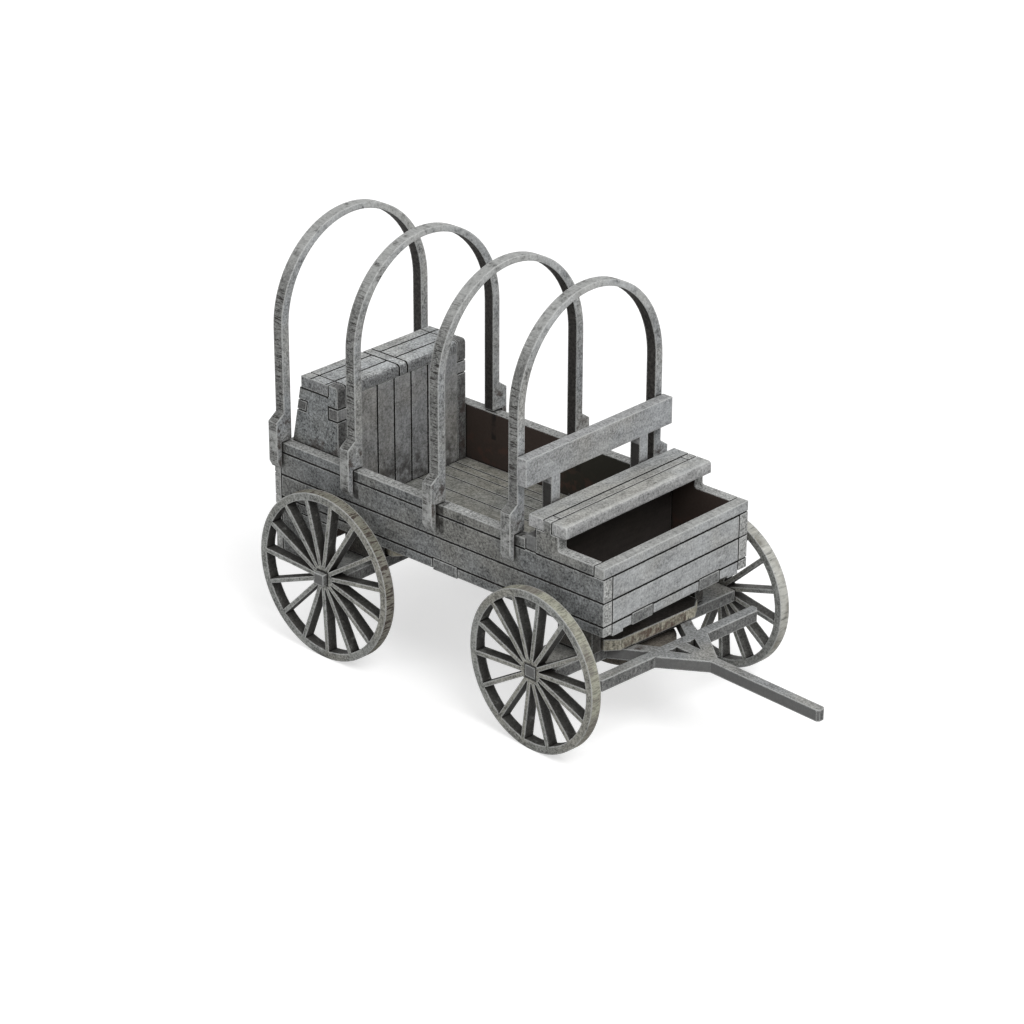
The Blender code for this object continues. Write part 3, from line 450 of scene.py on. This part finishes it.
def finish_seat():
    """The bulkhead, painted near black as shade under the bench, the bench's two strips and the seat's back
    on its posts.
    """
    # The bulkhead's faces are painted near black as the shade under the bench
    shade_under_bench = (0.032, 0.026, 0.023)
    bulkhead_cut = (0.165, 0.168, 0.166)
    rear_top = (0.30, 0.304, 0.30)
    front_top = (0.34, 0.344, 0.34)
    bench_cut = (0.34, 0.342, 0.34)
    back = (0.32, 0.324, 0.326)
    bench_line = 8.43
    worn_strip = (12.9, 14.0)
    posts = (20.0, 41.2)
    paint("seat_bulkhead", shade_under_bench, bulkhead_cut, "X", ALONG_Y, speckle=0.3, wear_and_highlight=0.3)
    line = ruled("X", (bench_line,), UPWARDS)
    paint("seat_bench_rear", rear_top, bench_cut, "Z", ALONG_Y, hatch=0.3, speckle=0.8, lines=line)
    # A paler strip along the bench's rounded front edge: wear and a painted highlight
    worn = stain(PALE_PAINT_AND_HIGHLIGHT, 0.4, UPWARDS, x=worn_strip, soft=0.7)
    paint("seat_bench_front", front_top, bench_cut, "Z", ALONG_Y, hatch=0.3, speckle=0.8, stains=worn)
    post_sides = stain(SOOT, 0.95, RIGHT, z=posts, soft=0.3)
    paint("seat_back", back, back, "X", ALONG_Y, speckle=0.8, stains=post_sides)


def finish_box_cheeks(cheek, cut):
    """The chuck box's two sides, with lines round the finger joint and under the lid."""
    foot_of_cheek = (20.0, 34.8)
    finger_end = -42.35
    finger_lines = (39.95, 42.25)
    finger_height = (39.9, 42.3)
    finger_length = (-42.5, -40.0)
    lid_line = 43.95
    under_lid = (-49.2, -42.3)
    foot = stain(UMBER, 0.7, z=foot_of_cheek, soft=1.6, patchy=0.9)
    for name, outside in (("box_cheek_right", RIGHT), ("box_cheek_left", LEFT)):
        lines = layers(
            ruled("X", (finger_end,), outside, z=finger_height),
            ruled("Z", finger_lines, outside, x=finger_length),
            ruled("Z", (lid_line,), outside, x=under_lid),
        )
        paint(name, cheek, cut, "Y", ALONG_Z, speckle=1.3, stains=foot, lines=lines)


def finish_chuck_box():
    """The chuck box: its sides, its planked front, its back, and the lid with a strap across it."""
    cheek = (0.205, 0.211, 0.209)
    cut = (0.12, 0.12, 0.118)
    planks = (0.255, 0.254, 0.253)
    lid = (0.36, 0.366, 0.364)
    lid_cut = (0.20, 0.205, 0.207)
    foot_of_front = (20.0, 27.0)
    box_lines = (-10.15, -6.1, -2.05, 2.05, 6.1, 10.15)
    lid_lines = (-46.57, -42.92)
    strap = (-0.9, 1.05)
    beyond_lid = 16.0
    finish_box_cheeks(cheek, cut)
    # Darker towards the bottom of the box front, next to the floor: grime and painted shade
    foot = stain(GRIME_AND_SHADE, 0.75, z=foot_of_front, soft=5.0, patchy=0.6)
    lines = ruled("Y", box_lines, FORWARDS)
    paint("box_front", planks, cut, "X", ALONG_Z, speckle=0.8, stains=foot, lines=lines)
    paint("box_back", cheek, cut, "X", ALONG_Z)
    lines = layers(
        ruled("X", lid_lines, UPWARDS, y=(-beyond_lid, strap[0])),
        ruled("X", lid_lines, UPWARDS, y=(strap[1], beyond_lid)),
        ruled("Y", strap, UPWARDS),
        ruled("Y", strap, FORWARDS),
    )
    paint("box_lid", lid, lid_cut, "Z", ALONG_Y, hatch=0.5, speckle=1.2, lines=lines)


def finish_axles():
    """The axle boards and the pole with painted shade on their right-facing sides, the bolsters with faces
    painted near black as shade, and the hangers painted dark as shade.
    """
    board = (0.27, 0.272, 0.268)
    board_cut = (0.145, 0.147, 0.144)
    shaded = (0.12, 0.12, 0.118)
    # The bolsters' faces are painted near black as the shade they lie in
    bolster = (0.035, 0.03, 0.026)
    khaki = (0.38, 0.36, 0.29)
    # The hangers are painted dark all over as the shade under the body
    hanger = (0.075, 0.072, 0.066)
    round_pin_x = (4.0, 19.0)
    round_pin_y = (-10.0, 10.0)
    scrawl_y = (-8.0, 6.0)
    scrawl_z = (15.2, 16.6)
    # Painted shade on the right-facing sides of the axle boards and the pole, and a brown stain on top
    stains = layers(
        stain(shaded, 0.85, RIGHT),
        stain(UMBER, 0.8, UPWARDS, x=round_pin_x, y=round_pin_y, soft=1.5, patchy=0.9),
    )
    for name in ("rear_axle", "front_axle_and_pole"):
        paint(name, board, board_cut, "Z", ALONG_X, hatch=0.5, stains=stains)
    scrawl = stain(RED_BROWN, 0.8, FORWARDS, y=scrawl_y, z=scrawl_z, soft=0.3, patchy=0.6)
    for end in ("rear", "front"):
        paint(f"{end}_bolster", bolster, khaki, "Z", ALONG_Y, hatch=0.6, stains=scrawl)
        for hand in ("left", "right"):
            paint(f"{end}_hanger_{hand}", hanger, hanger, "Y", ALONG_X, wear_and_highlight=0.6)


def finish_wheels():
    """The four wheels: olive and streaked treads on the right, pale ones on the left."""
    rim = (0.225, 0.226, 0.212)
    half_hub = 1.3
    for name, outside, pale, streaked, scorched in (
        ("wheel_rear_right", RIGHT, DULL_OLIVE, 1.0, 0.85),
        ("wheel_front_right", RIGHT, OLIVE, 0.65, 0.85),
        ("wheel_rear_left", LEFT, PALE_TREAD, 0.25, 0.6),
        ("wheel_front_left", LEFT, PALE_TREAD, 0.25, 0.6),
    ):
        low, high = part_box(name)
        centre = (low + high) / (2 * MM)
        radius = (high.z - low.z) / (2 * MM)
        hub_x = (centre.x - half_hub, centre.x + half_hub)
        hub_z = (centre.z - half_hub, centre.z + half_hub)
        # Black over the hub's square on the outer faces: the gap round the tenon, painted shade with burnt
        # edges
        round_tenon = stain(BURN_AND_SHADE, 0.9, outside, x=hub_x, z=hub_z, soft=0.15)
        tread = tread_of(centre, radius, pale, streaked, scorched)
        paint(name, rim, rim, "Y", NO_GRAIN, speckle=1.15, stains=tread, lines=round_tenon)


def finish_king_pin():
    """The turning disc and the pin through it."""
    disc = (0.17, 0.15, 0.125)
    disc_cut = (0.09, 0.078, 0.065)
    pin = (0.028, 0.024, 0.02)
    paint("king_disc", disc, disc_cut, "Z", ALONG_Y, wear_and_highlight=0.3, grime_and_shade=0.3)
    paint("king_pin", pin, pin, "Z", ALONG_Z, wear_and_highlight=0.3)


def make_camera():
    """Camera at the photograph's place, with its direction and roll."""
    data = bpy.data.cameras.new("camera")
    data.sensor_width = SENSOR_MM
    data.lens = LENS_MM
    camera = bpy.data.objects.new("camera", data)
    level = math.cos(CAMERA_ELEVATION)
    look = Vector((
        -math.sin(CAMERA_AZIMUTH) * level,
        math.cos(CAMERA_AZIMUTH) * level,
        -math.sin(CAMERA_ELEVATION),
    ))
    turn = look.to_track_quat("-Z", "Y").to_matrix().to_4x4()
    camera.matrix_world = Matrix.Translation(CAMERA_PLACE) @ turn @ Matrix.Rotation(CAMERA_ROLL, 4, "Z")
    bpy.context.scene.collection.objects.link(camera)
    bpy.context.scene.camera = camera


def seen_directly(tree):
    """One for what the camera sees, straight or in a mirror or through glass."""
    path = add(tree, "ShaderNodeLightPath")
    seen = maths(tree, "MAXIMUM", path.outputs["Is Camera Ray"], path.outputs["Is Glossy Ray"])
    return maths(tree, "MAXIMUM", seen, path.outputs["Is Transmission Ray"])


def make_floor():
    """Pale floor that keeps the wagon's shadow and runs out into the white background."""
    mesh = bpy.data.meshes.new("floor")
    ends = (-FLOOR_REACH, FLOOR_REACH)
    corners = [(x, y, 0.0) for y in ends for x in ends]
    mesh.from_pydata(corners, [], [(0, 1, 3, 2)])
    floor = bpy.data.objects.new("floor", mesh)
    bpy.context.scene.collection.objects.link(floor)
    material = bpy.data.materials.new("pale_floor")
    material.use_nodes = True
    tree = material.node_tree
    tree.nodes.remove(tree.nodes["Principled BSDF"])
    grey = (FLOOR_GREY, FLOOR_GREY, FLOOR_GREY, 1.0)
    matt = add(tree, "ShaderNodeBsdfDiffuse", {"Color": grey})
    lift = maths(tree, "MULTIPLY", seen_directly(tree), FLOOR_LIFT)
    glow = add(tree, "ShaderNodeEmission", {"Strength": lift})
    total = add(tree, "ShaderNodeAddShader", {0: matt.outputs[0], 1: glow.outputs[0]})
    tree.links.new(total.outputs[0], tree.nodes["Material Output"].inputs["Surface"])
    mesh.materials.append(material)


def make_light():
    """Soft light: a white world, a wide key lamp high in front, and weak ones on the right and behind."""
    world = bpy.data.worlds.new("studio")
    bpy.context.scene.world = world
    world.use_nodes = True
    tree = world.node_tree
    lift = maths(tree, "MULTIPLY", seen_directly(tree), 1.0 - WORLD_LIGHT)
    level = maths(tree, "ADD", lift, WORLD_LIGHT)
    background = tree.nodes["Background"]
    tree.links.new(level, background.inputs["Strength"])
    background.inputs["Color"].default_value = (*WHITE, 1.0)
    for name, place, size, power in (
        ("key", (0.55, -0.15, 0.75), 0.5, 5.2),
        ("fill", (0.0, -0.8, 0.35), 0.6, 1.6),
        ("back", (-0.65, 0.6, 0.3), 0.6, 2.2),
    ):
        data = bpy.data.lights.new(name, "AREA")
        data.shape = "DISK"
        data.size = size
        data.energy = power
        lamp = bpy.data.objects.new(name, data)
        lamp.location = place
        lamp.rotation_euler = (-Vector(place)).to_track_quat("-Z", "Y").to_euler()
        bpy.context.scene.collection.objects.link(lamp)


make_camera()
make_floor()
make_light()
finish_body()
finish_hoops()
finish_seat()
finish_chuck_box()
finish_axles()
finish_wheels()
finish_king_pin()

bpy.context.scene.view_settings.view_transform = "Standard"
